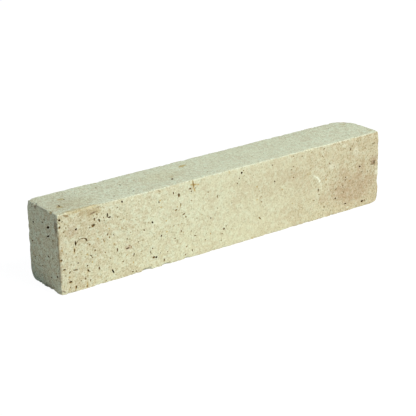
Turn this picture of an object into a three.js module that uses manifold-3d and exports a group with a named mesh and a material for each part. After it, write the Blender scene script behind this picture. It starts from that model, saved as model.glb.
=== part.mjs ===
// A natural bench whetstone: one bar of porous limestone, sawn flat on all six faces,
// with worn arrises, knocked corners, small chips along the arrises, and open pits in every face.
// X runs along the bar from its left end, Y through its thickness with the front face at -Y,
// and Z up. The origin is the centre of the narrow face that the bar stands on. Millimetres.

import * as THREE from "three";
import { ImprovedNoise } from "three/addons/math/ImprovedNoise.js";
import { mergeVertices } from "three/addons/utils/BufferGeometryUtils.js";
import Module from "manifold-3d";

// ---- Driving dimensions ----

const LENGTH = 200;
const THICKNESS = 28.4;
const HEIGHT = 40.5;
const HALF = new THREE.Vector3(LENGTH, THICKNESS, HEIGHT).divideScalar(2);

const ARRIS_RADIUS = 0.8; // how far the sawn arrises are rounded by handling
const ARRIS_SPREAD = 0.5; // how much that rounding varies along an arris
const WEAR_LENGTH = 7; // the length over which it varies

const BAND = 3; // width of the finely divided strip beside each arris
const BAND_ROWS = 3; // rows of faces across that strip
const BAND_CROWDING = 1.5; // above 1, the rows are narrower near the arris
const MIDDLE_ROWS = new THREE.Vector3(48, 5, 7); // rows of faces between the strips, along X, Y and Z

// Corners that have been knocked: extra rounding there, fading out over the reach.
const KNOCKED_CORNERS = [
  { corner: [-1, 1, 1], extra: 1.3, reach: 5 },
  { corner: [-1, 1, -1], extra: 1.7, reach: 6 },
  { corner: [-1, -1, 1], extra: 0.4, reach: 4 },
  { corner: [1, -1, 1], extra: 1.0, reach: 4 },
  { corner: [1, -1, -1], extra: 1.9, reach: 5 },
  { corner: [1, 1, 1], extra: 2.6, reach: 8 },
  { corner: [1, 1, -1], extra: 1.2, reach: 5 },
];

// Chips out of the arrises. An arris is where two faces meet, and "along" is measured on it
// from the left end, the back face or the foot of the bar. "bite" is the depth on the diagonal.
const CHIPS = [
  { faces: ["front", "bottom"], along: 48.5, length: 9, bite: 1.1 },
  { faces: ["front", "bottom"], along: 59.5, length: 8, bite: 0.9 },
  { faces: ["front", "bottom"], along: 72, length: 5, bite: 0.8 },
  { faces: ["front", "bottom"], along: 186, length: 7, bite: 0.7 },
  { faces: ["front", "top"], along: 20, length: 13, bite: 1.1 },
  { faces: ["front", "top"], along: 6, length: 7, bite: 0.8 },
  { faces: ["front", "top"], along: 152, length: 12, bite: 0.8 },
  { faces: ["back", "top"], along: 39, length: 4.5, bite: 1.2 },
  { faces: ["back", "top"], along: 190, length: 10, bite: 1.0 },
  { faces: ["left", "top"], along: 8, length: 5, bite: 1.6 },
  { faces: ["left", "top"], along: 22, length: 7, bite: 0.8 },
  { faces: ["left", "front"], along: 30, length: 11, bite: 1.3 },
  { faces: ["left", "bottom"], along: 9, length: 3.5, bite: 0.9 },
  { faces: ["left", "bottom"], along: 20, length: 6, bite: 1.0 },
  { faces: ["left", "back"], along: 25, length: 4, bite: 0.8 },
  { faces: ["right", "front"], along: 13, length: 9, bite: 0.9 },
  { faces: ["right", "top"], along: 21, length: 6, bite: 1.2 },
  { faces: ["back", "bottom"], along: 72, length: 11, bite: 1.2 },
  { faces: ["back", "bottom"], along: 128, length: 7, bite: 0.9 },
  { faces: ["right", "back"], along: 24, length: 8, bite: 1.1 },
];

// The pits that stand out, by face: place along the face and up it, width, length and lean in
// degrees from upright. On the front and top they are placed from the left end, on the left end
// from the back face; "up" runs from the foot, or on the top from the front face.
const MARKED_PITS = {
  front: [
    [1.3, 37.7, 1.3, 1.2, 0],
    [1.1, 34.2, 1.1, 1.3, 0],
    [9.8, 31.2, 1.3, 1.1, 0],
    [19.2, 30.8, 2, 1.5, -20],
    [22.6, 32.6, 0.9, 1.8, -25],
    [27.2, 34, 0.8, 2.6, 5],
    [28.3, 32.8, 1.8, 0.8, 0],
    [9.1, 24.5, 0.7, 2.8, -5],
    [15, 24.8, 0.9, 2.2, -28],
    [12.2, 25.9, 4.2, 0.7, 0],
    [35.7, 38.8, 1, 1.3, -20],
    [52.4, 24.3, 0.9, 1.5, -35],
    [68.4, 34.5, 1.2, 2, 0],
    [53.3, 5.8, 2.7, 1.2, 0],
    [28.9, 5, 0.8, 3.2, -28],
    [58.6, 3, 0.8, 1.7, 0],
    [107, 37.4, 1.3, 1.3, 0],
    [91.6, 28.4, 0.8, 1.9, 0],
    [118.2, 10.4, 0.9, 2.2, -45],
    [95.2, 10.3, 1.2, 1.2, 0],
    [169.3, 9.1, 1.1, 1.2, 0],
    [176.4, 4.6, 1.5, 1, 0],
    [188.4, 3.2, 1.9, 1.2, -10],
    [157.4, 16.6, 0.8, 1.8, 5],
  ],
  top: [
    [70, 7.6, 1.4, 2, 30],
    [45.7, 5.3, 1, 1.3, 25],
    [13.8, 16.7, 1, 1.3, 0],
    [7.4, 10.4, 1.1, 2.2, 10],
  ],
  left: [
    [19.5, 32, 1.4, 2.8, 60],
    [19.2, 27.5, 0.9, 2.3, 60],
    [14.3, 33, 1.4, 0.9, 0],
    [5.5, 30.6, 1.4, 1, 0],
    [3.6, 20.5, 1.3, 0.9, 0],
    [18, 17, 1.3, 0.9, 0],
    [25.5, 9, 1, 1.8, 60],
  ],
};

const PIT_SINK = 0.15; // share of its depth by which a pit's middle lies below the face
const PIT_DEPTH = 0.8; // depth of a pit, as a share of its mean width
const SCATTERED_PITS = 46; // smaller pits over all the faces, thickest at the open-grained left end
const SCATTER_SIZE = [0.7, 1.3]; // their widths
const SCATTER_STRETCH = [0.8, 1.9]; // their lengths, as a share of their widths
const OPEN_GRAIN = 2.2; // above 1, pits crowd towards the left end
const CLEAR_OF_ARRIS = 2.5; // no scattered pit lies nearer to an arris than this
const CLEAR_OF_PIT = 3; // nor nearer to another pit's centre
const CLEAR_OF_MIDDLE = 6; // nor nearer to the middle of a face, where holders and gauges bear

const RAGGED = 0.22; // how far a cutter's corners stray, as a share of its radius
const SAME_POINT = 1e-4; // vertices nearer than this are one
const FLAT_ENOUGH = 0.002; // faces that lie within this of one plane are joined

// ---- The six faces ----

// "out" is the way a face looks; "along" and "up" lie in it. A place on a face is measured
// from "corner", the face's own lower left corner as "along" and "up" run.
const FACES = {
  front: { out: [0, -1, 0], along: [1, 0, 0], up: [0, 0, 1], corner: [-1, -1, -1] },
  back: { out: [0, 1, 0], along: [1, 0, 0], up: [0, 0, 1], corner: [-1, 1, -1] },
  left: { out: [-1, 0, 0], along: [0, -1, 0], up: [0, 0, 1], corner: [-1, 1, -1] },
  right: { out: [1, 0, 0], along: [0, -1, 0], up: [0, 0, 1], corner: [1, 1, -1] },
  bottom: { out: [0, 0, -1], along: [1, 0, 0], up: [0, 1, 0], corner: [-1, -1, -1] },
  top: { out: [0, 0, 1], along: [1, 0, 0], up: [0, 1, 0], corner: [-1, -1, 1] },
};

const vector = (numbers) => new THREE.Vector3(...numbers);
const cornerPlace = (signs) => vector(signs).multiply(HALF);
const chance = (low, high) => THREE.MathUtils.lerp(low, high, THREE.MathUtils.seededRandom());

/** How long and how high a face is, along its own "along" and "up". */
function faceSize(face) {
  const extent = (way) => Math.abs(vector(way).dot(HALF)) * 2;
  return { along: extent(face.along), up: extent(face.up) };
}

/** The point on a face at a distance along it and up it from its corner. */
function placeOn(face, along, up) {
  return cornerPlace(face.corner)
    .addScaledVector(vector(face.along), along)
    .addScaledVector(vector(face.up), up);
}

// ---- Solids ----

const wasm = await Module();
wasm.setup();

/** A closed geometry with its vertices shared between its triangles. */
function joined(geometry) {
  geometry.deleteAttribute("normal");
  geometry.deleteAttribute("uv");
  return mergeVertices(geometry, SAME_POINT);
}

function toSolid(geometry) {
  return new wasm.Manifold(
    new wasm.Mesh({
      numProp: 3,
      vertProperties: geometry.attributes.position.array,
      triVerts: new Uint32Array(geometry.index.array),
    }),
  );
}

function toGeometry(solid) {
  const { vertProperties, triVerts } = solid.getMesh();
  const geometry = new THREE.BufferGeometry();
  geometry.setAttribute("position", new THREE.BufferAttribute(vertProperties, 3));
  geometry.setIndex(new THREE.BufferAttribute(triVerts, 1));
  const faceted = geometry.toNonIndexed();
  faceted.computeVertexNormals();
  return faceted;
}

/** A ragged lump of the given radii, turned to a face's axes and put at its place. */
function lump(place, axes, radii, detail) {
  const geometry = joined(new THREE.IcosahedronGeometry(1, detail));
  const stand = new THREE.Matrix4().makeBasis(...axes).scale(radii).setPosition(place);
  const points = geometry.attributes.position;
  const point = new THREE.Vector3();
  for (let i = 0; i < points.count; i++) {
    point.fromBufferAttribute(points, i).multiplyScalar(1 + chance(-RAGGED, RAGGED));
    points.setXYZ(i, ...point.applyMatrix4(stand));
  }
  return toSolid(geometry);
}

// ---- The sawn bar, with its arrises worn round ----

/** Where grid line "step" of "steps" lies: close together beside the arrises, even between them. */
function gridPlace(step, steps, half) {
  const fromEnd = Math.min(step, steps - step);
  const side = Math.sign(step - steps / 2);
  if (fromEnd <= BAND_ROWS) {
    return side * (half - BAND * (fromEnd / BAND_ROWS) ** BAND_CROWDING);
  }
  const share = (step - BAND_ROWS) / (steps - 2 * BAND_ROWS);
  return THREE.MathUtils.lerp(BAND - half, half - BAND, share);
}

const wear = new ImprovedNoise();

/** How far the arris nearest to a place is rounded. */
function arrisRadius(place) {
  const { x, y, z } = place.clone().divideScalar(WEAR_LENGTH);
  let radius = ARRIS_RADIUS + ARRIS_SPREAD * wear.noise(x, y, z);
  for (const { corner, extra, reach } of KNOCKED_CORNERS) {
    radius += extra * Math.exp(-((place.distanceTo(cornerPlace(corner)) / reach) ** 2));
  }
  return radius;
}

function sawnBar() {
  const rows = MIDDLE_ROWS.clone().addScalar(2 * BAND_ROWS);
  const geometry = joined(new THREE.BoxGeometry(2, 2, 2, rows.x, rows.y, rows.z));
  const points = geometry.attributes.position;
  const unit = new THREE.Vector3();
  for (let i = 0; i < points.count; i++) {
    unit.fromBufferAttribute(points, i);
    const place = new THREE.Vector3(
      ...["x", "y", "z"].map((axis) => {
        const step = Math.round(((unit[axis] + 1) / 2) * rows[axis]);
        return gridPlace(step, rows[axis], HALF[axis]);
      }),
    );
    const radius = arrisRadius(place);
    const inner = HALF.clone().subScalar(radius);
    const core = place.clone().clamp(inner.clone().negate(), inner);
    points.setXYZ(i, ...place.sub(core).setLength(radius).add(core));
  }
  return toSolid(geometry);
}

// ---- Chips and pits ----

/** A chip out of the arris where two faces meet: a long lump whose side bites into it. */
function chip({ faces, along, length, bite }) {
  const [first, second] = faces.map((name) => FACES[name]);
  const run = [first.along, first.up].map(vector).find((way) => way.dot(vector(second.out)) === 0);
  const start = vector(first.out).add(vector(second.out)).sub(run);
  const outward = vector(first.out).add(vector(second.out)).normalize();
  const side = new THREE.Vector3().crossVectors(run, outward);
  const radius = Math.max(2 * bite, length / 4);
  const place = start.multiply(HALF).addScaledVector(run, along).addScaledVector(outward, radius - bite);
  return lump(place, [run, outward, side], new THREE.Vector3(length / 2, radius, radius), 1);
}

/** A pit in a face: a small ragged lump sunk a little below it. */
function pit(face, [along, up, width, length, lean], detail) {
  const turn = new THREE.Quaternion().setFromAxisAngle(
    vector(face.out),
    THREE.MathUtils.degToRad(-lean) * handOf(face),
  );
  const across = vector(face.along).applyQuaternion(turn);
  const down = new THREE.Vector3().crossVectors(vector(face.out), across);
  const depth = PIT_DEPTH * Math.sqrt(width * length);
  const place = placeOn(face, along, up).addScaledVector(vector(face.out), -PIT_SINK * depth);
  const radii = new THREE.Vector3(width / 2, length / 2, depth / (1 + PIT_SINK));
  return lump(place, [across, down, vector(face.out)], radii, detail);
}

/** 1 where "along", "up" and "out" are right-handed, -1 where they are left-handed. */
function handOf(face) {
  return new THREE.Vector3().crossVectors(vector(face.along), vector(face.up)).dot(vector(face.out));
}

/** Small pits strewn over all six faces, more of them towards the left end. */
function scatteredPits(marked) {
  const taken = [...marked];
  const names = Object.keys(FACES);
  const areas = names.map((name) => faceSize(FACES[name])).map(({ along, up }) => along * up);
  const total = areas.reduce((sum, area) => sum + area);
  const found = [];
  while (found.length < SCATTERED_PITS) {
    let pick = chance(0, total);
    const name = names.find((_, i) => (pick -= areas[i]) < 0);
    const face = FACES[name];
    const size = faceSize(face);
    const longways = face.along[0] === 1;
    const share = longways ? chance(0, 1) ** OPEN_GRAIN : chance(0, 1);
    const along = THREE.MathUtils.lerp(CLEAR_OF_ARRIS, size.along - CLEAR_OF_ARRIS, share);
    const up = chance(CLEAR_OF_ARRIS, size.up - CLEAR_OF_ARRIS);
    const place = placeOn(face, along, up);
    const middle = placeOn(face, size.along / 2, size.up / 2);
    const crowded = taken.some((other) => other.distanceTo(place) < CLEAR_OF_PIT);
    if (crowded || middle.distanceTo(place) < CLEAR_OF_MIDDLE) continue;
    const width = chance(...SCATTER_SIZE);
    taken.push(place);
    found.push(pit(face, [along, up, width, width * chance(...SCATTER_STRETCH), chance(-90, 90)], 0));
  }
  return found;
}

function whetstoneBar() {
  THREE.MathUtils.seededRandom(7);
  const marked = Object.entries(MARKED_PITS).flatMap(([name, pits]) =>
    pits.map((numbers) => ({ face: FACES[name], numbers })),
  );
  const cutters = [
    ...CHIPS.map(chip),
    ...marked.map(({ face, numbers }) => pit(face, numbers, 1)),
    ...scatteredPits(marked.map(({ face, numbers }) => placeOn(face, numbers[0], numbers[1]))),
  ];
  const bar = sawnBar().subtract(wasm.Manifold.union(cutters));
  return bar.asOriginal().simplify(FLAT_ENOUGH);
}

// ---- The part ----

const limestone = new THREE.MeshStandardMaterial({
  name: "limestone",
  color: 0xd4d1af,
  roughness: 0.9,
  metalness: 0,
});

const bar = new THREE.Mesh(toGeometry(whetstoneBar()), limestone);
bar.name = "whetstone_bar";
bar.position.z = HALF.z;

const whetstone = new THREE.Group();
whetstone.name = "whetstone";
whetstone.add(bar);

export default whetstone;
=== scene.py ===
"""A natural bench whetstone: one bar of porous limestone, sawn flat and standing on a narrow face.

X runs along the bar from its left end, Y through its thickness with the front face at -Y, and Z up.
The scene is in metres. Tables of places and sizes on the stone are in millimetres.
"""

import math
import random

import bmesh
import bpy
from mathutils import Euler, Matrix, Vector


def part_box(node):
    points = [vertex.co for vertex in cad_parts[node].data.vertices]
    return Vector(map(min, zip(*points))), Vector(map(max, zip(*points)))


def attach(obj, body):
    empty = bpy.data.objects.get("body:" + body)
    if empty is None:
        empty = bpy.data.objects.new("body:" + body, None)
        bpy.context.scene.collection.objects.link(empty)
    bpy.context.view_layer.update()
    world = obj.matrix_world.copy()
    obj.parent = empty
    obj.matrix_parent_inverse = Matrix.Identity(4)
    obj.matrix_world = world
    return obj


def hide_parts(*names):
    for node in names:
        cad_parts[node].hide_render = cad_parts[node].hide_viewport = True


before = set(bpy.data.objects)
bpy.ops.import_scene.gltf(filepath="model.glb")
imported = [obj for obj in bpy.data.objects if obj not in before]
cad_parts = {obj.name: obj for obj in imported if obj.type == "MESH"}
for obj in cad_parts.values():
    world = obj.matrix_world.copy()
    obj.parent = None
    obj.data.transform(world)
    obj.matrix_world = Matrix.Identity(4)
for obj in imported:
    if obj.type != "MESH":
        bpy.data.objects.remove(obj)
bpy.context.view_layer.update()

MM = 0.001
BAR = "whetstone_bar"
LOW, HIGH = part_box(BAR)
MIDDLE = (LOW + HIGH) / 2
HALF = (HIGH - LOW) / 2


# ---- The six faces ----


class Face:
    """One face of the bar. "along" and "up" lie in it, and places on it are measured from "start"."""

    def __init__(self, out, along, up, start):
        self.out = Vector(out)
        self.along = Vector(along)
        self.up = Vector(up)
        self.start = MIDDLE + Vector(start) * HALF

    def place(self, along, up):
        """The point that far along the face and up it, in millimetres."""
        return self.start + self.along * (along * MM) + self.up * (up * MM)

    def size(self):
        """How long and how high the face is, in millimetres."""
        return [2 * abs(way.dot(HALF)) / MM for way in (self.along, self.up)]


FACES = {
    "front": Face(out=(0, -1, 0), along=(1, 0, 0), up=(0, 0, 1), start=(-1, -1, -1)),
    "back": Face(out=(0, 1, 0), along=(1, 0, 0), up=(0, 0, 1), start=(-1, 1, -1)),
    "left": Face(out=(-1, 0, 0), along=(0, -1, 0), up=(0, 0, 1), start=(-1, 1, -1)),
    "right": Face(out=(1, 0, 0), along=(0, -1, 0), up=(0, 0, 1), start=(1, 1, -1)),
    "bottom": Face(out=(0, 0, -1), along=(1, 0, 0), up=(0, 1, 0), start=(-1, -1, -1)),
    "top": Face(out=(0, 0, 1), along=(1, 0, 0), up=(0, 1, 0), start=(-1, -1, 1)),
}


# ---- Wear on the arrises ----

ARRIS_WIDTH = 0.7  # how much of each face the worn arris takes
ARRIS_ROWS = 6
ARRIS_SQUARENESS = 0.65  # 0.5 is a quarter round, 1 is a sharp corner
WORN_BAND = 2.2  # how far in from the arris the wear fades out
WORN_FADE = 1.5  # above 1, the wear keeps closer to the arris

# What wears the surface: its name, the size of its features, its stops, how deep it goes and the
# vertex group it is kept to. Stops pair a noise value with how much stone is left, 0 to 1.
WEAR = [
    ("long waves", 28, [(0.3, 0), (0.7, 1)], 0.06, ""),
    ("tool marks", 3.5, [(0.35, 0), (0.65, 1)], 0.06, ""),
    ("rubbing", 7, [(0.3, 0), (0.7, 1)], 0.1, "arris"),
    ("crumbling", 2.2, [(0.28, 0), (0.4, 0.7), (0.5, 1)], 0.34, "arris"),
    ("grains", 0.9, [(0.3, 0), (0.6, 1)], 0.1, "arris"),
]

# Corners that were knocked: which corner, how far it goes in, and how far that reaches.
KNOCKED_CORNERS = [
    ((-1, 1, 1), 0.7, 2.6),
    ((-1, 1, -1), 0.9, 3),
    ((-1, -1, 1), 0.3, 3),
    ((1, -1, 1), 0.4, 3),
    ((1, -1, -1), 1.0, 3.5),
    ((1, 1, 1), 1.8, 5.5),
    ((1, 1, -1), 0.9, 5),
]
KNOCK_END = 3  # past this many reaches from the corner, a knock moves nothing

# Chips out of the arrises: the two faces, the place along the arris, its length and how deep it bites.
CHIPS = [
    ("front", "bottom", 48.5, 8, 1.7),
    ("front", "bottom", 60, 7, 1.4),
    ("front", "bottom", 72.5, 5, 1.2),
    ("front", "bottom", 186, 7, 0.7),
    ("front", "top", 20, 13, 1.1),
    ("front", "top", 6, 7, 0.8),
    ("front", "top", 84.5, 2, 0.7),
    ("front", "top", 152, 12, 0.8),
    ("back", "top", 39, 4.5, 1.2),
    ("back", "top", 187.5, 6, 0.9),
    ("left", "top", 8, 3.8, 1.2),
    ("left", "top", 22, 7, 0.8),
    ("left", "front", 31, 11, 0.6),
    ("left", "bottom", 9, 3.5, 0.9),
    ("left", "bottom", 20, 6, 1.0),
    ("left", "back", 25, 4, 0.8),
    ("right", "front", 13, 9, 0.9),
    ("right", "top", 21, 5, 0.6),
    ("back", "bottom", 72, 11, 1.2),
    ("back", "bottom", 128, 7, 0.9),
    ("right", "back", 24, 8, 1.1),
]


# ---- Pits ----

# Pits that stand out, by face and by how far they are open. Each has its place along the face and
# up it, its width and length, and its lean in degrees from upright towards the far end. On the
# left end "along" runs from the back face to the front, and on the top "up" runs to the back.
PITS = {
    "front": {
        "open": [
            (1.3, 37.7, 1.3, 1.2, 0), (9.8, 31.2, 1.3, 1.1, 0), (27.2, 34, 0.8, 2.6, 5),
            (28.3, 32.8, 1.8, 0.8, 0), (9.1, 24.5, 0.8, 2.8, -5), (35.7, 38.8, 1, 1.3, -20),
            (52.4, 24.3, 0.9, 1.5, -35), (54, 5.7, 1.2, 1.1, 0), (28.9, 5, 0.8, 3.2, -28),
            (107, 37.4, 1.3, 1.3, 0), (176.4, 4.6, 1.5, 1, 0), (188.4, 3.2, 1.9, 1.2, -10),
            (190.1, 3.2, 1.3, 0.6, -35),
            (37.6, 14.6, 1.8, 0.7, 0), (51.9, 10.9, 0.8, 0.7, 0), (186.5, 23.3, 1.4, 1, 0),
        ],
        "brown": [
            (1.1, 34.2, 1.2, 1.4, 0), (19.2, 30.8, 2.1, 1.6, -20), (22.6, 32.6, 1, 1.9, -25),
            (15, 24.8, 0.9, 2.2, -28), (68.4, 34.5, 1.3, 2.1, 0), (58.6, 3, 0.8, 1.7, 0),
            (20, 33.8, 0.8, 1.7, 0), (34.2, 39.7, 0.7, 0.5, 0), (1.1, 17.8, 1.3, 1.2, 0),
            (2.4, 12.8, 1.6, 1, 0), (8.3, 2.6, 1.1, 1.5, 15),
            (95.2, 10.3, 1.3, 1.3, 0), (169.3, 9.1, 1.3, 1.3, 0),
            (157.4, 16.6, 0.9, 1.9, 5), (196.8, 23.5, 0.9, 2.3, 0), (194.6, 24.4, 0.9, 0.8, 0),
            (195.3, 22.7, 1.1, 0.8, 0),
            (10, 24.7, 0.6, 1.7, 35), (11.3, 25.6, 1.7, 0.5, -28), (12.9, 25.9, 1.9, 0.5, 0),
            (14.3, 25.6, 1.1, 0.6, 25), (52.5, 6, 1.9, 1.3, 0), (4.5, 33.2, 0.7, 0.8, 0),
            (3.2, 31.4, 0.8, 0.8, 0), (32.9, 36.6, 0.8, 0.7, 0), (25, 33.5, 0.6, 0.8, 0),
            (25.3, 32, 0.6, 0.6, 0), (17.2, 30.2, 1, 0.8, 0), (15.4, 22.6, 0.6, 0.6, 0),
            (16.6, 21.9, 0.8, 0.8, 0), (8.3, 21, 0.7, 2, 0), (19.5, 18.2, 1.1, 1, 0),
            (17.1, 16.2, 0.7, 1.5, -30), (17.9, 15, 0.6, 1.2, -30), (25.1, 15.7, 0.8, 0.8, 0),
            (5.2, 10.7, 0.8, 1.4, 30), (8.3, 11.2, 3, 0.6, 9), (14.9, 11.6, 1.1, 0.9, 0),
            (15.3, 9, 0.8, 2, -35), (21.4, 8.6, 0.8, 1.9, -20), (5.3, 5.8, 1.9, 1.2, 0),
            (11.1, 4.9, 1, 0.6, 0), (13.5, 5.3, 0.8, 1.2, 0), (16.2, 3.8, 0.7, 1.4, 10),
            (14.2, 1.3, 0.9, 0.8, 0), (24.8, 1.4, 0.7, 0.9, 0), (26.7, 24.4, 0.7, 1.2, 0),
            (27.8, 22.8, 1, 0.8, 0), (24.6, 21.9, 0.5, 1.4, -15), (47.5, 21.5, 0.8, 1.3, -25),
            (31.9, 15.3, 0.7, 1.9, 0), (39, 15.8, 0.9, 0.7, 0), (39.9, 14.7, 0.6, 0.8, 0),
            (43.8, 16.3, 0.8, 0.9, 0), (41.1, 10.4, 0.7, 2.1, 10), (34.8, 8.5, 1.2, 0.6, 0),
            (50.8, 8.9, 0.6, 2.1, -15), (60.6, 6.8, 0.6, 0.9, 0), (40, 1.8, 1.4, 0.8, 0),
            (42.1, 1.5, 0.9, 0.7, 0), (65.4, 12.6, 1, 0.8, 0), (66.5, 27.2, 1.6, 0.8, -20),
            (71, 24, 1.8, 0.8, -10), (72.2, 22.3, 0.8, 1.3, -25), (69.2, 15.6, 0.7, 1.2, 0),
            (75.2, 36.3, 1.2, 1.1, 0), (75.8, 34.7, 0.9, 0.9, 0), (77.3, 11.1, 1.6, 0.6, 0),
            (72.2, 6.6, 1.4, 0.6, -20), (75.5, 3.8, 0.7, 1.5, -10), (71.3, 2.5, 0.9, 0.9, 0),
            (83.6, 7.2, 0.9, 0.8, 0), (96.7, 11.5, 0.8, 0.7, 0), (94, 7.9, 1.2, 0.6, 0),
            (93.5, 4.5, 1.1, 0.6, -35), (105.4, 34.8, 0.7, 1, 0), (108.2, 38.4, 0.9, 0.6, 0),
            (114.4, 34.4, 0.7, 0.6, 0), (119.2, 21.8, 1.2, 0.4, -30), (119.4, 19, 0.8, 0.7, 0),
            (140.5, 33.3, 1.1, 0.6, -20), (139.3, 32, 0.8, 0.7, 0), (146.3, 37.7, 0.9, 0.7, 0),
            (153, 38.4, 1, 0.5, -35), (151.9, 29.4, 1.3, 0.5, -30), (157.9, 14, 1, 0.6, 0),
            (154.4, 11.4, 1.1, 0.6, -20), (161.4, 6.3, 1.2, 0.7, 0), (169.7, 14.2, 0.7, 1.3, 25),
            (174.5, 15.2, 0.9, 0.8, 0), (175, 11.4, 0.7, 0.8, 0), (176.4, 19.4, 1.1, 0.7, 0),
            (176.2, 18, 0.7, 1.3, 0), (187.8, 20, 1.7, 0.5, -10), (192.1, 19.3, 0.6, 1.3, 0),
            (196.2, 34.4, 2.4, 0.6, -10), (193.2, 25.5, 0.9, 0.5, -30),
            (190, 33, 0.7, 0.9, 0), (179.8, 34.4, 0.8, 2, 10), (180.9, 36, 0.6, 0.9, 0),
            (168.3, 27.2, 0.6, 0.9, 0), (171.7, 39, 0.8, 0.5, 0),
        ],
        "faint": [
            (12.5, 20, 0.8, 0.8, 0), (20.8, 15.3, 1, 0.6, 0), (46.2, 16.4, 0.7, 0.6, 0),
            (45.6, 11, 0.8, 1, 0), (64.8, 19.4, 0.8, 1, 0), (53, 18, 0.8, 0.8, 0),
            (34.7, 29.9, 1.2, 0.6, 0), (35.6, 25.1, 1, 0.7, 0), (68.3, 26.8, 0.9, 0.6, 0),
            (69.3, 29.3, 0.9, 2.2, 5), (67.6, 19, 0.6, 1, 0), (69.5, 19.4, 0.8, 0.7, 0),
            (72.8, 18, 1, 0.6, 0), (75.2, 14, 0.6, 1.2, 0), (68.2, 9, 0.9, 0.6, 0),
            (66.6, 10.8, 0.5, 1.8, -10), (86.2, 27.6, 0.9, 0.5, 0), (85.4, 19.5, 1.2, 0.5, 0),
            (91.6, 28.4, 0.9, 2, 0), (118.2, 10.4, 1, 2.3, -45),
            (90, 19.3, 0.8, 0.5, 0), (99.8, 9, 1, 0.6, 0), (118.3, 25, 1.1, 0.8, 0),
            (148.3, 26.4, 1.4, 0.6, 15), (157.6, 18.1, 0.8, 0.6, 0), (155.6, 18.7, 1, 0.8, 0),
            (146.1, 9.5, 0.9, 0.8, 0), (196.3, 21, 0.6, 0.6, 0),
        ],
    },
    "top": {
        "open": [(70, 7.6, 1.4, 2, 30), (45.7, 5.3, 0.9, 1.2, 25), (7.4, 10.4, 1, 2.1, 10)],
        "brown": [(45.4, 16.7, 0.7, 1.5, 0), (34, 20.5, 0.9, 1.3, 0), (13.8, 16.7, 0.9, 1.2, 0)],
        "faint": [(36.5, 5.2, 1.1, 0.7, 0)],
    },
    "left": {
        "open": [
            (19.5, 32, 1.3, 3.2, 65), (19.2, 27.5, 0.9, 2.7, 60), (25.5, 9, 0.9, 1.7, 60),
            (14.3, 33, 1.4, 0.9, 0), (16.3, 34.8, 1.4, 0.8, 60), (5.5, 30.6, 1.4, 1, 0),
            (3.6, 20.5, 1.3, 0.9, 0), (18, 17, 1.3, 0.9, 0), (20, 6.8, 1.2, 0.7, 0),
        ],
        "brown": [
            (23.2, 26.4, 1.2, 0.8, 0), (24.7, 10.5, 0.9, 0.6, 0), (5, 12.8, 1.4, 0.6, 0),
            (10.6, 5, 1.2, 0.7, 0), (12, 10.3, 1.2, 0.7, 0),
        ],
        "faint": [
            (10.8, 21.3, 1.4, 1, 0), (22.3, 17.2, 1.4, 1, 0), (20, 21.6, 1, 0.7, 0),
            (22.7, 23, 0.9, 0.6, 0), (19.9, 8.5, 0.9, 0.7, 0), (8.3, 5, 0.7, 0.7, 0),
        ],
    },
}

PIT_DEPTH = {"open": 0.85, "brown": 0.5, "faint": 0.35}  # as a share of a pit's mean width
PIT_SINK = 0.25  # how far its widest part lies below the face, as a share of its depth
PIT_SHAPES = 4  # how many lumps there are to cut each sort of pit with
PIT_FINENESS = 2
PIT_RAGGED = 0.2  # how far a cutter's corners stray, as a share of its radius
CHIP_FINENESS = 3
CHIP_RAGGED = 0.12  # the same for the chips' lump
CHIP_SHAPE = 5  # the seed that gives the chips' lump its shape

# Finer pits strewn over every face: how many there are and how wide the widest is.
STREWN = {
    "front": (85, 0.8),
    "back": (170, 1.4),
    "top": (14, 0.7),
    "bottom": (60, 1.2),
    "left": (20, 0.7),
    "right": (36, 1.2),
}
STREWN_LEAST = 0.3  # the width of the narrowest
STREWN_CROWDING = 2.0  # above 1, they crowd to the left end
STREWN_STRETCH = (0.8, 2.1)  # their lengths, as a share of their widths
STREWN_SORTS = ["open"] + ["brown"] * 4 + ["faint"] * 5
CLEAR_OF_ARRIS = 1.2  # no strewn pit has its middle nearer to an arris
CLEAR_OF_PIT = 0.35  # the least gap to another pit
SEED = 11


# ---- Helpers for modelling ----


def pick_only(*things):
    bpy.ops.object.select_all(action="DESELECT")
    for thing in things:
        thing.select_set(True)
    bpy.context.view_layer.objects.active = things[0]


def settle(thing):
    """Puts a piece's place and size into its mesh."""
    pick_only(thing)
    bpy.ops.object.transform_apply(location=True, rotation=True, scale=True)


def finish_modifiers(thing):
    pick_only(thing)
    for name in [modifier.name for modifier in thing.modifiers]:
        bpy.ops.object.modifier_apply(modifier=name)


def select_edges(thing, wanted):
    """Leaves edit mode on with only the wanted edges selected."""
    pick_only(thing)
    bpy.ops.object.mode_set(mode="EDIT")
    bpy.ops.mesh.select_mode(type="EDGE")
    bpy.ops.mesh.select_all(action="DESELECT")
    mesh = bmesh.from_edit_mesh(thing.data)
    for edge in mesh.edges:
        if wanted(edge):
            edge.select_set(True)
    bmesh.update_edit_mesh(thing.data)


# ---- The sawn bar ----

STRAIGHT = 0.999  # an edge with this share of its length on an axis runs along it
CREASE = 38  # degrees between two faces, past which their edge is left sharp


def cut_rings(bar, axis, longer_than, cuts):
    """Cuts every edge that runs along the axis and is longer than that into equal lengths."""

    def runs_along(edge):
        run = edge.verts[0].co - edge.verts[1].co
        return abs(run[axis]) > longer_than * MM and abs(run[axis]) > STRAIGHT * run.length

    select_edges(bar, runs_along)
    bpy.ops.mesh.subdivide(number_cuts=cuts)
    bpy.ops.object.mode_set(mode="OBJECT")


def knock_corner(bar, corner, depth, reach):
    """Pushes a corner of the bar in towards its middle, less and less over the reach."""
    place = MIDDLE + Vector(corner) * HALF
    for vertex in bar.data.vertices:
        far = (vertex.co - place).length / (reach * MM)
        if far < KNOCK_END:
            vertex.co -= Vector(corner).normalized() * (depth * MM * math.exp(-far * far))


def arris_distance(point):
    """How far a point on the bar is from the nearest arris."""
    inside = sorted(HALF[k] - abs(point[k] - MIDDLE[k]) for k in range(3))
    return inside[1]


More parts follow.
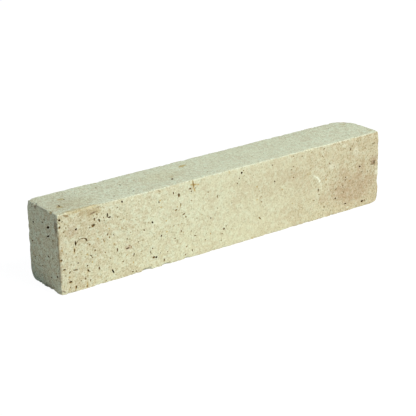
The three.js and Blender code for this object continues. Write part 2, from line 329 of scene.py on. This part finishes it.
def mark_worn_band(bar):
    """A vertex group that is full on the arrises and fades out over the worn band."""
    group = bar.vertex_groups.new(name="arris")
    for vertex in bar.data.vertices:
        share = 1 - arris_distance(vertex.co) / (WORN_BAND * MM)
        if share > 0:
            group.add([vertex.index], share ** WORN_FADE, "REPLACE")


def relief(name, size, stops):
    """A displacement texture with features of that many millimetres."""
    texture = bpy.data.textures.new(name, "CLOUDS")
    texture.noise_scale = size * MM
    texture.use_color_ramp = True
    ramp = texture.color_ramp
    for stop, (place, left) in zip(ramp.elements, (stops[0], stops[-1])):
        stop.position = place
        stop.color = (left, left, left, 1)
    for place, left in stops[1:-1]:
        ramp.elements.new(place).color = (left, left, left, 1)
    return texture


def wear_away(bar, texture, depth, group):
    """Takes up to that depth off the surface, by the texture, and never adds to it."""
    modifier = bar.modifiers.new(texture.name, "DISPLACE")
    modifier.texture = texture
    modifier.texture_coords = "LOCAL"
    modifier.strength = depth * MM
    modifier.mid_level = 1
    modifier.vertex_group = group


def sawn_bar():
    """The bar with worn arrises, before it is chipped and pitted."""
    bpy.ops.object.select_all(action="DESELECT")
    bpy.ops.mesh.primitive_cube_add(size=1, location=MIDDLE, scale=2 * HALF)
    bar = bpy.context.object
    bar.name = "whetstone"
    settle(bar)

    select_edges(bar, lambda edge: True)
    bpy.ops.mesh.bevel(
        offset=ARRIS_WIDTH * MM, segments=ARRIS_ROWS, profile=ARRIS_SQUARENESS, affect="EDGES"
    )
    bpy.ops.object.mode_set(mode="OBJECT")
    cut_rings(bar, axis=0, longer_than=100, cuts=3)
    cut_rings(bar, axis=0, longer_than=20, cuts=70)
    cut_rings(bar, axis=1, longer_than=10, cuts=22)
    cut_rings(bar, axis=2, longer_than=20, cuts=34)

    for corner in KNOCKED_CORNERS:
        knock_corner(bar, *corner)
    mark_worn_band(bar)
    for name, size, stops, depth, group in WEAR:
        wear_away(bar, relief(name, size, stops), depth, group)
    finish_modifiers(bar)
    return bar


# ---- Cutters for the chips and pits ----


def ragged_lump(fineness, ragged, seed):
    """A closed lump of about one unit's radius."""
    bpy.ops.object.select_all(action="DESELECT")
    bpy.ops.mesh.primitive_ico_sphere_add(subdivisions=fineness, radius=1)
    lump = bpy.context.object
    bpy.ops.object.mode_set(mode="EDIT")
    bpy.ops.mesh.select_all(action="SELECT")
    bpy.ops.transform.vertex_random(offset=ragged, seed=seed)
    bpy.ops.object.mode_set(mode="OBJECT")
    return lump


def stand(across, lengthways, out, place):
    """The matrix that stands a lump on three axes at a place."""
    return Matrix.Translation(place) @ Matrix((across, lengthways, out)).transposed().to_4x4()


def copy_at(master, matrix, radii):
    """A copy of a lump, with its own mesh, of those radii and stood by the matrix."""
    lump = master.copy()
    lump.data = master.data.copy()
    lump.matrix_world = matrix @ Matrix.Diagonal((*radii, 1))
    bpy.context.collection.objects.link(lump)
    return lump


def join_cutters(cutters):
    """One piece of all the cutters, with their places in its mesh."""
    pick_only(*cutters)
    if len(cutters) > 1:
        bpy.ops.object.join()
    joined = bpy.context.object
    settle(joined)
    return joined


def chip_cutter(master, first_name, second_name, along, length, bite):
    """A long lump whose side bites into the arris where two faces meet."""
    first, second = FACES[first_name], FACES[second_name]
    run = first.along if first.along.dot(second.out) == 0 else first.up
    outward = (first.out + second.out).normalized()
    side = run.cross(outward)
    radius = max(2 * bite, length / 4)
    corner = MIDDLE + (first.out + second.out - run) * HALF
    place = corner + run * (along * MM) + outward * ((radius - bite) * MM)
    radii = Vector((length / 2, radius, radius)) * MM
    return copy_at(master, stand(run, outward, side, place), radii)


def pit_cutter(master, sort, face, along, up, width, length, lean):
    """A small lump sunk a little below a face."""
    turn = math.radians(lean)
    upwards = face.up * math.cos(turn) + face.along * math.sin(turn)
    across = upwards.cross(face.out)
    depth = PIT_DEPTH[sort] * math.sqrt(width * length)
    place = face.place(along, up) - face.out * (PIT_SINK * depth * MM)
    radii = Vector((width / 2, length / 2, depth / (1 + PIT_SINK))) * MM
    return copy_at(master, stand(across, upwards, face.out, place), radii)


def strewn_pits(name, taken):
    """Places and sizes of fine pits on one face, clear of each other and of those taken."""
    face = FACES[name]
    length, height = face.size()
    count, widest = STREWN[name]
    found = []
    while len(found) < count:
        share = random.random()
        if abs(face.along.x) == 1:
            share = share ** STREWN_CROWDING
        along = CLEAR_OF_ARRIS + share * (length - 2 * CLEAR_OF_ARRIS)
        up = random.uniform(CLEAR_OF_ARRIS, height - CLEAR_OF_ARRIS)
        width = random.uniform(STREWN_LEAST, widest)
        long = width * random.uniform(*STREWN_STRETCH)
        lean = random.uniform(-90, 90)
        reach = max(width, long) / 2 * (1 + PIT_RAGGED) + CLEAR_OF_PIT
        if all(math.hypot(along - a, up - b) > reach + r for a, b, r in taken):
            taken.append((along, up, reach))
            found.append((along, up, width, long, lean))
    return found


def in_rounds(cutters, ragged):
    """Shares cutters out in rounds, so that those cut together never touch one another."""
    rounds = []
    for cutter in cutters:
        reach = max(cutter.scale) * (1 + ragged)
        for taken in rounds:
            if all((cutter.location - place).length > reach + other for _, place, other in taken):
                break
        else:
            taken = []
            rounds.append(taken)
        taken.append((cutter, cutter.location.copy(), reach))
    return [[cutter for cutter, _, _ in taken] for taken in rounds]


def cut_out(bar, cutters, ragged):
    """Takes the cutters out of the bar. What they cut keeps their material."""
    for together in in_rounds(cutters, ragged):
        cutter = join_cutters(together)
        cut = bar.modifiers.new("cut", "BOOLEAN")
        cut.operation = "DIFFERENCE"
        cut.solver = "MANIFOLD"
        cut.material_mode = "TRANSFER"
        cut.object = cutter
        finish_modifiers(bar)
        bpy.data.objects.remove(cutter)


# ---- The stone ----


def whetstone(sawn, broken, linings):
    """The bar with its chips and pits cut out of it."""
    bar = sawn_bar()
    bar.data.materials.append(sawn)

    chip_master = ragged_lump(CHIP_FINENESS, CHIP_RAGGED, CHIP_SHAPE)
    chip_master.data.materials.append(broken)
    cut_out(bar, [chip_cutter(chip_master, *chip) for chip in CHIPS], CHIP_RAGGED)

    masters = {}
    for sort, lining in linings.items():
        masters[sort] = [ragged_lump(PIT_FINENESS, PIT_RAGGED, shape) for shape in range(PIT_SHAPES)]
        for master in masters[sort]:
            master.data.materials.append(lining)
    pits = []
    for name, face in FACES.items():
        taken = []
        for sort, places in PITS.get(name, {}).items():
            for along, up, width, length, lean in places:
                master = random.choice(masters[sort])
                pits.append(pit_cutter(master, sort, face, along, up, width, length, lean))
                taken.append((along, up, max(width, length) / 2 * (1 + PIT_RAGGED)))
        for pit in strewn_pits(name, taken):
            sort = random.choice(STREWN_SORTS)
            pits.append(pit_cutter(random.choice(masters[sort]), sort, face, *pit))
    cut_out(bar, pits, PIT_RAGGED)
    for master in (chip_master, *sum(masters.values(), [])):
        bpy.data.objects.remove(master)
    pick_only(bar)
    bpy.ops.object.shade_smooth_by_angle(angle=math.radians(CREASE))
    return bar


# ---- Finishes ----


def shade(red, green, blue):
    """A colour from its screen numbers, 0 to 255."""
    parts = [part / 255 for part in (red, green, blue)]
    linear = [p / 12.92 if p <= 0.04045 else ((p + 0.055) / 1.055) ** 2.4 for p in parts]
    return (*linear, 1)


CREAM = shade(217, 214, 181)
PALE = shade(222, 226, 198)
WARM = shade(199, 184, 149)
CALCITE = shade(236, 236, 212)
CLAY = shade(168, 155, 116)
IRON = shade(224, 196, 142)
ROSE = shade(221, 194, 186)
UMBER = shade(133, 99, 74)
STRAW = shade(233, 217, 206)
PIT_TAN = shade(168, 148, 102)
PIT_BROWN = shade(138, 110, 65)
PIT_DARK = shade(100, 70, 32)
# A cool green-grey for the top: partly rubbed stone, partly painted sky light.
RUBBED_AND_PAINTED_SKYLIGHT = shade(210, 216, 194)

BROKEN_ROUGHNESS = 0.95

# A Mix node that mixes colours takes them and gives their mix at these places.
BELOW, ABOVE, MIXED = 6, 7, 2

APART = (31.0, 7.0, 19.0)  # sets one noise off from another

# How the sawn faces change along the bar: stops of (millimetres from the left end, value).
MOTTLING = [(0, 1.7), (1.2, 1), (45, 0.85), (90, 0.6), (140, 0.6), (165, 0.95), (200, 1)]
WARMTH = [(0, 0.4), (40, 0.15), (70, 0.05), (95, 0.12), (130, 0.25), (150, 0.42), (170, 0.62), (200, 0.77)]
SPECKLING = [(0, 0.7), (1.2, 0.4), (50, 0.28), (85, 0.08), (150, 0.08), (170, 0.2), (200, 0.25)]
RUSTING = [(0, 0.35), (60, 0.25), (90, 0.05), (200, 0.08)]


def node(tree, kind, **settings):
    made = tree.nodes.new("ShaderNode" + kind)
    for key, value in settings.items():
        setattr(made, key, value)
    return made


def wire(tree, socket, value):
    """Links a socket from another one, or sets it."""
    if isinstance(value, bpy.types.NodeSocket):
        tree.links.new(value, socket)
    else:
        socket.default_value = value


def maths(tree, operation, *values):
    made = node(tree, "Math", operation=operation)
    for socket, value in zip(made.inputs, values):
        wire(tree, socket, value)
    return made.outputs[0]


def vector_maths(tree, operation, *values):
    made = node(tree, "VectorMath", operation=operation)
    for socket, value in zip(made.inputs, values):
        wire(tree, socket, value)
    return made


def fade(tree, value, start, end, low=0.0, high=1.0):
    """Goes smoothly from low to high as the value goes from start to end."""
    made = node(tree, "MapRange", interpolation_type="SMOOTHSTEP")
    for socket, number in zip(made.inputs, (value, start, end, low, high)):
        wire(tree, socket, number)
    return made.outputs[0]


def clouds(tree, vector, size, detail=2.0, roughness=0.5):
    """Soft noise from 0 to 1 with features of about that many millimetres."""
    made = node(tree, "TexNoise")
    wire(tree, made.inputs["Vector"], vector)
    wire(tree, made.inputs["Scale"], 1 / size)
    wire(tree, made.inputs["Detail"], detail)
    wire(tree, made.inputs["Roughness"], roughness)
    return made.outputs["Fac"]


def mix_colours(tree, amount, below, above, blend):
    made = node(tree, "Mix", data_type="RGBA", blend_type=blend)
    wire(tree, made.inputs["Factor"], amount)
    wire(tree, made.inputs[BELOW], below)
    wire(tree, made.inputs[ABOVE], above)
    return made.outputs[MIXED]


def glaze(tree, amount, below, above):
    """Lays one colour over another by an amount."""
    return mix_colours(tree, amount, below, above, "MIX")


def tint(tree, amount, below, colour):
    """Stains a colour by an amount, and keeps its grain."""
    return mix_colours(tree, amount, below, colour, "MULTIPLY")


def less(tree, value, mask, share):
    """A value that drops by that share of itself where the mask is full."""
    kept = maths(tree, "SUBTRACT", 1.0, maths(tree, "MULTIPLY", mask, share))
    return maths(tree, "MULTIPLY", value, kept)


def new_group(name, takes, gives):
    """A shader node group, with its inputs and outputs as a socket kind for each label."""
    tree = bpy.data.node_groups.new(name, "ShaderNodeTree")
    for label, kind in takes.items():
        tree.interface.new_socket(label, in_out="INPUT", socket_type="NodeSocket" + kind)
    for label, kind in gives.items():
        tree.interface.new_socket(label, in_out="OUTPUT", socket_type="NodeSocket" + kind)
    start = tree.nodes.new("NodeGroupInput").outputs
    end = tree.nodes.new("NodeGroupOutput").inputs
    return tree, start, end


def use(tree, group, **values):
    """Puts a node group in a tree, sets or links its inputs and returns its outputs."""
    made = node(tree, "Group", node_tree=group)
    for label, value in values.items():
        wire(tree, made.inputs[label], value)
    return made.outputs


def bar_space():
    """Places in millimetres from the middle of the bar, and distances from its faces and arrises."""
    gives = {"Place": "Vector", "Along": "Float", "Depth": "Float", "Arris": "Float", "Top": "Float"}
    tree, _, end = new_group("bar space", {}, gives)
    spot = node(tree, "TexCoord").outputs["Object"]
    centred = vector_maths(tree, "SUBTRACT", spot, tuple(MIDDLE)).outputs[0]
    scaled = vector_maths(tree, "SCALE", centred)
    wire(tree, scaled.inputs["Scale"], 1 / MM)
    place = scaled.outputs[0]
    size = vector_maths(tree, "ABSOLUTE", place).outputs[0]
    left = vector_maths(tree, "SUBTRACT", tuple(HALF / MM), size).outputs[0]
    parts = node(tree, "SeparateXYZ")
    wire(tree, parts.inputs[0], left)
    x, y, z = parts.outputs
    lower = maths(tree, "MINIMUM", x, y)
    upper = maths(tree, "MAXIMUM", x, y)
    wire(tree, end["Place"], place)
    wire(tree, end["Depth"], maths(tree, "MINIMUM", lower, z))
    wire(tree, end["Arris"], maths(tree, "MAXIMUM", lower, maths(tree, "MINIMUM", upper, z)))
    signed = node(tree, "SeparateXYZ")
    wire(tree, signed.inputs[0], place)
    wire(tree, end["Along"], maths(tree, "ADD", signed.outputs[0], HALF.x / MM))
    wire(tree, end["Top"], maths(tree, "SUBTRACT", HALF.z / MM, signed.outputs[2]))
    return tree


def limestone_body():
    """The stone itself: cream, with warm clouds, pale mottling and fine grain."""
    takes = {"Place": "Vector", "Mottle": "Float"}
    tree, start, end = new_group("limestone body", takes, {"Color": "Color", "Grit": "Float"})
    place = start["Place"]
    broad = fade(tree, clouds(tree, place, size=17, detail=3), start=0.43, end=0.66, high=0.45)
    colour = glaze(tree, broad, CREAM, WARM)

    patch = clouds(tree, place, size=3.6, detail=4, roughness=0.65)
    shifted = vector_maths(tree, "ADD", place, APART).outputs[0]
    light = clouds(tree, shifted, size=2.2, detail=3, roughness=0.6)
    light = fade(tree, light, start=0.46, end=0.64, high=0.9)
    grain = clouds(tree, place, size=0.8, detail=3, roughness=0.7)
    mottling = [
        (fade(tree, patch, start=0.46, end=0.66, high=0.6), WARM),
        (light, PALE),
        (fade(tree, grain, start=0.535, end=0.67), CLAY),
        (fade(tree, grain, start=0.47, end=0.33), CALCITE),
    ]
    for amount, hue in mottling:
        colour = glaze(tree, maths(tree, "MULTIPLY", amount, start["Mottle"]), colour, hue)
    wire(tree, end["Color"], colour)
    fine = maths(tree, "MULTIPLY", grain, 0.6)
    coarse = maths(tree, "MULTIPLY", light, 0.4)
    wire(tree, end["Grit"], maths(tree, "ADD", fine, coarse))
    return tree


def stain_mark():
    """One stain: full at its middle, gone at its reach, with a ragged edge."""
    takes = {"Place": "Vector", "Middle": "Vector", "Turn": "Vector", "Reach": "Vector"}
    takes.update({"Ragged": "Float", "Strength": "Float"})
    tree, start, end = new_group("stain", takes, {"Mask": "Float"})
    stretched = node(tree, "Mapping", vector_type="TEXTURE")
    wire(tree, stretched.inputs["Vector"], start["Place"])
    wire(tree, stretched.inputs["Location"], start["Middle"])
    wire(tree, stretched.inputs["Rotation"], start["Turn"])
    wire(tree, stretched.inputs["Scale"], start["Reach"])
    far = vector_maths(tree, "LENGTH", stretched.outputs[0]).outputs["Value"]
    stray = clouds(tree, start["Place"], size=1.7, detail=3, roughness=0.6)
    stray = maths(tree, "MULTIPLY", maths(tree, "SUBTRACT", stray, 0.5), start["Ragged"])
    inside = fade(tree, maths(tree, "ADD", far, stray), start=1.0, end=0.35)
    wire(tree, end["Mask"], maths(tree, "MULTIPLY", inside, start["Strength"]))
    return tree


def speck_field():
    """Small ragged specks, one to a cell, in that share of the cells."""
    takes = {"Place": "Vector", "Spacing": "Float", "Radius": "Float", "Share": "Float"}
    tree, start, end = new_group("specks", takes, {"Mask": "Float"})
    cells = node(tree, "TexVoronoi")
    wire(tree, cells.inputs["Vector"], start["Place"])
    wire(tree, cells.inputs["Scale"], maths(tree, "DIVIDE", 1.0, start["Spacing"]))
    draw = node(tree, "SeparateXYZ")
    wire(tree, draw.inputs[0], cells.outputs["Color"])
    chosen = maths(tree, "LESS_THAN", draw.outputs[0], start["Share"])
    size = maths(tree, "MULTIPLY", start["Radius"], maths(tree, "ADD", draw.outputs[1], 0.4))
    far = maths(tree, "MULTIPLY", cells.outputs["Distance"], start["Spacing"])
    stray = maths(tree, "MULTIPLY", clouds(tree, start["Place"], size=0.5), 0.5)
    edge = maths(tree, "ADD", far, stray)
    dot = fade(tree, edge, start=maths(tree, "ADD", size, 0.25), end=size)
    wire(tree, end["Mask"], maths(tree, "MULTIPLY", dot, chosen))
    return tree


# Stains by colour. Each has the face it is on, its place along the face and up it, its half length
# and half width, its lean in degrees and its strength.
STAINS = {
    "iron": [
        ("front", 19.5, 37.8, 5.5, 3.4, 0, 0.4), ("front", 21.5, 39.4, 3, 1.2, 0, 0.35),
        ("front", 16, 38.2, 6, 3.4, 8, 0.35), ("front", 14.3, 1.9, 0.6, 2, 5, 0.8),
        ("front", 14.9, 8.7, 1, 1.7, 0, 0.5), ("front", 4.8, 39.1, 2.7, 0.6, 20, 0.6),
        ("front", 8.2, 2.5, 0.8, 1.6, 15, 0.8), ("front", 8.3, 21, 0.8, 1.8, 0, 0.8),
        ("front", 5.3, 5.8, 1.4, 0.9, 0, 0.6), ("front", 30.3, 18.8, 1.3, 1.1, 0, 0.5),
        ("front", 77, 38.3, 0.8, 3.2, -9, 1), ("front", 77.5, 37.9, 2.6, 0.7, 11, 1),
        ("front", 77.9, 35, 0.6, 2, -24, 0.85), ("front", 80, 37.3, 0.8, 0.7, 0, 0.9),
        ("front", 99.5, 39.5, 0.7, 1.5, -20, 0.5), ("front", 175.6, 6.9, 0.5, 1, 0, 0.6),
        ("front", 151, 27, 1.8, 1.6, 0, 0.3), ("top", 71.5, 10.5, 1.5, 1.7, 0, 0.45),
        ("top", 12.5, 17.5, 2.4, 1.6, 0, 0.7), ("top", 7, 9.2, 2.2, 2.9, 0, 0.65),
        ("top", 85.3, 20.5, 3.4, 2, -20, 0.85), ("top", 13, 0.6, 15, 2.6, 0, 0.5),
        ("top", 14, 9, 17, 8, 0, 0.2), ("top", 68, 14, 16, 9, 0, 0.15),
        ("top", 193.5, 21.5, 2, 1.4, 0, 0.5), ("top", 197, 4, 2.4, 1.3, 0, 0.4),
        ("left", 22.5, 39.9, 1.8, 0.8, 0, 0.7), ("front", 0.3, 24, 0.7, 17, 0, 0.35),
    ],
    "rose": [
        ("front", 6.5, 32.2, 2.6, 0.5, 49, 0.6), ("front", 7.5, 31, 3.5, 4.6, 0, 0.35),
        ("front", 159.5, 28.7, 1.2, 0.35, -15, 0.7), ("front", 181, 13, 20, 12, 0, 0.4),
        ("front", 187, 22, 5, 4, 0, 0.3), ("front", 183, 7, 6, 4, 0, 0.3),
        ("front", 175, 22, 5, 4, 0, 0.25), ("front", 161, 11, 5, 3, 0, 0.25),
        ("front", 138, 29, 9, 6, 0, 0.15), ("front", 38.3, 15, 2.6, 1.8, 0, 0.6),
        ("front", 196.5, 25, 3.6, 3.4, 0, 0.5),
    ],
    "umber": [
        ("front", 1.4, 2, 1.6, 0.5, 36, 0.7), ("front", 37.9, 14.6, 1.4, 0.6, 0, 0.6),
        ("front", 31.9, 15.3, 0.6, 1.1, 0, 0.4), ("front", 30.4, 18.6, 0.6, 0.5, 0, 0.4),
        ("front", 77.1, 38.4, 0.7, 2, -9, 0.6), ("top", 198.3, 6.5, 0.6, 0.6, 0, 0.8),
        ("left", 8.2, 39.6, 1.7, 2, 0, 0.8), ("left", 16, 1.3, 4.8, 0.9, 0, 0.5),
        ("left", 26.6, 34.3, 1.8, 4.8, 0, 0.6), ("left", 28, 13, 0.8, 13, 0, 0.45),
        ("top", 4, 14, 26, 20, 0, 0.14), ("front", 19.6, 37.1, 2.2, 0.6, -10, 0.8),
        ("front", 17, 38.2, 7.5, 2.4, 4, 0.16), ("front", 22.6, 39.3, 1.6, 0.7, 0, 0.4),
        ("front", 4.8, 39.1, 2.9, 0.6, 20, 0.5), ("front", 196.4, 23.4, 2, 2.4, 0, 0.35),
        ("front", 0.2, 24, 0.6, 15, 0, 0.35),
    ],
    "calcite": [
        ("front", 155.2, 24.8, 1.9, 0.6, 30, 0.8), ("front", 156.6, 23.8, 1.6, 0.7, 35, 1),
        ("front", 157.7, 22.7, 1.2, 0.7, 50, 1), ("front", 158.4, 21.5, 0.9, 1.3, -15, 1),
        ("front", 159.4, 17.6, 0.5, 3.2, 0, 0.6), ("front", 166.5, 28, 3.6, 2.6, 0, 0.3),
        ("front", 175.5, 37.5, 2.4, 1.7, 0, 0.3), ("front", 184, 32, 3, 4, 0, 0.25),
        ("front", 199, 17.5, 2.4, 2, 0, 0.6), ("front", 178, 2, 1.4, 0.9, 0, 0.4),
    ],
}

STAIN_DEPTH = 1.8  # how far into the stone a stain reaches
STAIN_RAGGED = 1.3  # how far its edge strays in all, as a share of its reach


def stain_masks(tree, place, mark, colour):
    """The strongest of the stains of one colour."""
    total = 0.0
    for name, along, up, reach_along, reach_up, lean, strength in STAINS[colour]:
        face = FACES[name]
        middle = (face.place(along, up) - MIDDLE) / MM
        reach = face.along * reach_along + face.up * reach_up + face.out * STAIN_DEPTH
        hand = face.along.cross(face.up).dot(face.out)
        turn = face.out * (math.radians(-lean) * hand)
        mask = use(
            tree,
            mark,
            Place=place,
            Middle=tuple(middle),
            Turn=tuple(turn),
            Reach=tuple(abs(part) for part in reach),
            Ragged=STAIN_RAGGED,
            Strength=strength,
        )["Mask"]
        total = maths(tree, "MAXIMUM", mask, total)
    return total


def stained(tree, groups, place, colour):
    """Lays every stain on a colour, and the calcite over them."""
    for name, hue in (("rose", ROSE), ("iron", IRON), ("umber", UMBER)):
        colour = tint(tree, stain_masks(tree, place, groups["stain"], name), colour, hue)
    return glaze(tree, stain_masks(tree, place, groups["stain"], "calcite"), colour, CALCITE)


def along_bar(tree, along, stops):
    """A value that follows its stops along the bar."""
    length = 2 * HALF.x / MM
    ramp = node(tree, "ValToRGB")
    wire(tree, ramp.inputs[0], maths(tree, "DIVIDE", along, length))
    marks = ramp.color_ramp.elements
    for mark, (place, value) in zip(marks, (stops[0], stops[-1])):
        mark.position = place / length
        mark.color = (value, value, value, 1)
    for place, value in stops[1:-1]:
        marks.new(place / length).color = (value, value, value, 1)
    return ramp.outputs["Color"]


def new_finish(name):
    finish = bpy.data.materials.new(name)
    finish.use_nodes = True
    tree = finish.node_tree
    return finish, tree, tree.nodes["Principled BSDF"].inputs


def rough_surface(tree, shader, height, strength, distance):
    """Bumps the surface by a height, which is that many millimetres from 0 to 1."""
    bump = node(tree, "Bump")
    wire(tree, bump.inputs["Strength"], strength)
    wire(tree, bump.inputs["Distance"], distance * MM)
    wire(tree, bump.inputs["Height"], height)
    wire(tree, shader["Normal"], bump.outputs[0])


def sawn_limestone(groups):
    """The sawn faces, stained and speckled, with a rubbed top that is also painted cooler as painted sky
    light, and pale arrises that are partly a painted highlight.
    """
    finish, tree, shader = new_finish("sawn_limestone")
    space = use(tree, groups["space"])
    place = space["Place"]
    along = space["Along"]

    stray = maths(tree, "MULTIPLY", clouds(tree, place, size=1.2), 0.8)
    rubbed_and_skylit_top = fade(tree, maths(tree, "ADD", space["Top"], stray), start=1.1, end=0.6)
    lively = maths(tree, "ADD", 1.0, maths(tree, "MULTIPLY", rubbed_and_skylit_top, 0.9))
    mottle = maths(tree, "MULTIPLY", along_bar(tree, along, MOTTLING), lively)
    body = use(tree, groups["body"], Place=place, Mottle=mottle)
    colour = body["Color"]
    # The top is really rubbed, more mottled and less speckled. It is also painted cooler and greener, with
    # the straw warmth taken off, as painted sky light from above.
    colour = tint(tree, less(tree, along_bar(tree, along, WARMTH), rubbed_and_skylit_top, 1.0), colour, STRAW)
    colour = glaze(tree, maths(tree, "MULTIPLY", rubbed_and_skylit_top, 0.3), colour, RUBBED_AND_PAINTED_SKYLIGHT)

    share = less(tree, along_bar(tree, along, SPECKLING), rubbed_and_skylit_top, 0.8)
    specks = use(tree, groups["specks"], Place=place, Spacing=1.8, Radius=0.26, Share=share)
    colour = tint(tree, specks["Mask"], colour, UMBER)
    share = less(tree, along_bar(tree, along, RUSTING), rubbed_and_skylit_top, 0.7)
    rust = use(tree, groups["specks"], Place=place, Spacing=3.3, Radius=0.55, Share=share)
    colour = tint(tree, maths(tree, "MULTIPLY", rust["Mask"], 0.8), colour, IRON)

    # Pale along every arris: partly crumbled fresh stone, partly a painted highlight where the worn
    # arrises catch the light.
    stray = maths(tree, "MULTIPLY", clouds(tree, place, size=1.6, detail=3), 1.4)
    edge = maths(tree, "ADD", space["Arris"], stray)
    colour = glaze(tree, fade(tree, edge, start=1.3, end=0.7, high=0.6), colour, CALCITE)
    colour = stained(tree, groups, place, colour)
    wire(tree, shader["Base Color"], colour)
    roughness = fade(tree, body["Grit"], start=0.2, end=0.8, low=0.82, high=0.96)
    wire(tree, shader["Roughness"], roughness)
    rough_surface(tree, shader, body["Grit"], strength=0.5, distance=0.25)
    return finish


def broken_limestone(groups):
    """Fresh breaks: coarser and paler than the sawn faces."""
    finish, tree, shader = new_finish("broken_limestone")
    place = use(tree, groups["space"])["Place"]
    body = use(tree, groups["body"], Place=place, Mottle=1.0)
    fresh = fade(tree, clouds(tree, place, size=1.5, detail=3), start=0.4, end=0.65, high=0.6)
    colour = glaze(tree, fresh, body["Color"], CALCITE)
    colour = stained(tree, groups, place, colour)
    wire(tree, shader["Base Color"], colour)
    shader["Roughness"].default_value = BROKEN_ROUGHNESS
    rough_surface(tree, shader, body["Grit"], strength=0.8, distance=0.4)
    return finish


def pore_lining(groups, name, wall, hollow):
    """The walls of the pits: stone at the rim, then one colour, then a darker one inside."""
    finish, tree, shader = new_finish(name)
    space = use(tree, groups["space"])
    body = use(tree, groups["body"], Place=space["Place"], Mottle=1.0)
    stray = maths(tree, "MULTIPLY", clouds(tree, space["Place"], size=0.8), 0.4)
    depth = maths(tree, "ADD", space["Depth"], stray)
    colour = glaze(tree, fade(tree, depth, start=0.05, end=0.35), body["Color"], wall)
    colour = glaze(tree, fade(tree, depth, start=0.3, end=0.8), colour, hollow)
    wire(tree, shader["Base Color"], colour)
    shader["Roughness"].default_value = BROKEN_ROUGHNESS
    rough_surface(tree, shader, body["Grit"], strength=0.8, distance=0.3)
    return finish


# ---- Studio ----

VIEW_TARGET = Vector((-4.05, 0, 17.18)) * MM
VIEW_DISTANCE = 718.77 * MM
VIEW_AZIMUTH = -35.949
VIEW_ELEVATION = 20.478
VIEW_ROLL = -1.295
VIEW_LENS = 122.36
VIEW_SENSOR = 36
VIEW_NEAREST = 0.01

FLOOR_SIZE = 6
FLOOR_COLOUR = (0.82, 0.82, 0.82, 1)
FLOOR_GLOW = 1.06  # how bright the floor is to the camera
FLOOR_GLOW_SHARE = 0.92  # how much of that glow shows, over the light that falls on it

FILL_STRENGTH = 0.212
FILL_COLOUR = (0.745, 1.035, 1.28, 1)
WHITE = (1, 1, 1, 1)


def towards(azimuth, elevation):
    """The direction from the bar to something at that azimuth, from the front, and elevation."""
    turn = math.radians(azimuth)
    rise = math.radians(elevation)
    return Vector((math.sin(turn) * math.cos(rise), -math.cos(turn) * math.cos(rise), math.sin(rise)))


def camera():
    bpy.ops.object.camera_add()
    view = bpy.context.object
    back = towards(VIEW_AZIMUTH, VIEW_ELEVATION)
    view.location = VIEW_TARGET + VIEW_DISTANCE * back
    roll = Euler((0, 0, math.radians(VIEW_ROLL))).to_quaternion()
    view.rotation_euler = (back.to_track_quat("Z", "Y") @ roll).to_euler()
    view.data.lens = VIEW_LENS
    view.data.sensor_width = VIEW_SENSOR
    view.data.clip_start = VIEW_NEAREST
    bpy.context.scene.camera = view


def soft_box(name, azimuth, elevation, distance, size, watts, colour):
    """A square area lamp that faces the bar."""
    bpy.ops.object.light_add(type="AREA")
    lamp = bpy.context.object
    lamp.name = name
    away = towards(azimuth, elevation)
    lamp.location = MIDDLE + distance * away
    lamp.rotation_euler = away.to_track_quat("Z", "Y").to_euler()
    lamp.data.size = size
    lamp.data.energy = watts
    lamp.data.color = colour


def pale_paper():
    """White to the camera but for the shadow that falls on it."""
    paper = bpy.data.materials.new("pale_paper")
    paper.use_nodes = True
    tree = paper.node_tree
    tree.nodes.clear()
    matt = node(tree, "BsdfDiffuse")
    matt.inputs["Color"].default_value = FLOOR_COLOUR
    glow = node(tree, "Emission")
    glow.inputs["Strength"].default_value = FLOOR_GLOW
    seen = maths(tree, "MULTIPLY", node(tree, "LightPath").outputs["Is Camera Ray"], FLOOR_GLOW_SHARE)
    mix = node(tree, "MixShader")
    for socket, value in zip(mix.inputs, (seen, matt.outputs[0], glow.outputs[0])):
        wire(tree, socket, value)
    wire(tree, node(tree, "OutputMaterial").inputs["Surface"], mix.outputs[0])
    return paper


def floor():
    bpy.ops.mesh.primitive_plane_add(size=FLOOR_SIZE, location=(0, 0, LOW.z))
    ground = bpy.context.object
    ground.name = "floor"
    ground.data.materials.append(pale_paper())


def studio_air():
    """White all round where the camera sees it, and a weak even fill light."""
    world = bpy.data.worlds.new("studio")
    bpy.context.scene.world = world
    world.use_nodes = True
    tree = world.node_tree
    tree.nodes.clear()
    seen = node(tree, "LightPath").outputs["Is Camera Ray"]
    air = node(tree, "Background")
    strength = node(tree, "MapRange")
    wire(tree, strength.inputs["Value"], seen)
    wire(tree, strength.inputs["To Min"], FILL_STRENGTH)
    wire(tree, air.inputs["Strength"], strength.outputs[0])
    wire(tree, air.inputs["Color"], glaze(tree, seen, FILL_COLOUR, WHITE))
    wire(tree, node(tree, "OutputWorld").inputs["Surface"], air.outputs[0])


# ---- The scene ----

random.seed(SEED)
groups = {
    "space": bar_space(),
    "body": limestone_body(),
    "stain": stain_mark(),
    "specks": speck_field(),
}
linings = {
    "open": pore_lining(groups, "open_pore", PIT_BROWN, PIT_DARK),
    "brown": pore_lining(groups, "brown_pore", PIT_TAN, PIT_BROWN),
    "faint": pore_lining(groups, "faint_pore", WARM, PIT_TAN),
}
bar = whetstone(sawn_limestone(groups), broken_limestone(groups), linings)
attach(bar, "root")
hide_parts(BAR)
camera()
floor()
studio_air()
soft_box("key", azimuth=22, elevation=50, distance=2.2, size=1.0, watts=48, colour=(1, 0.98, 0.905))
bpy.context.scene.view_settings.view_transform = "Standard"
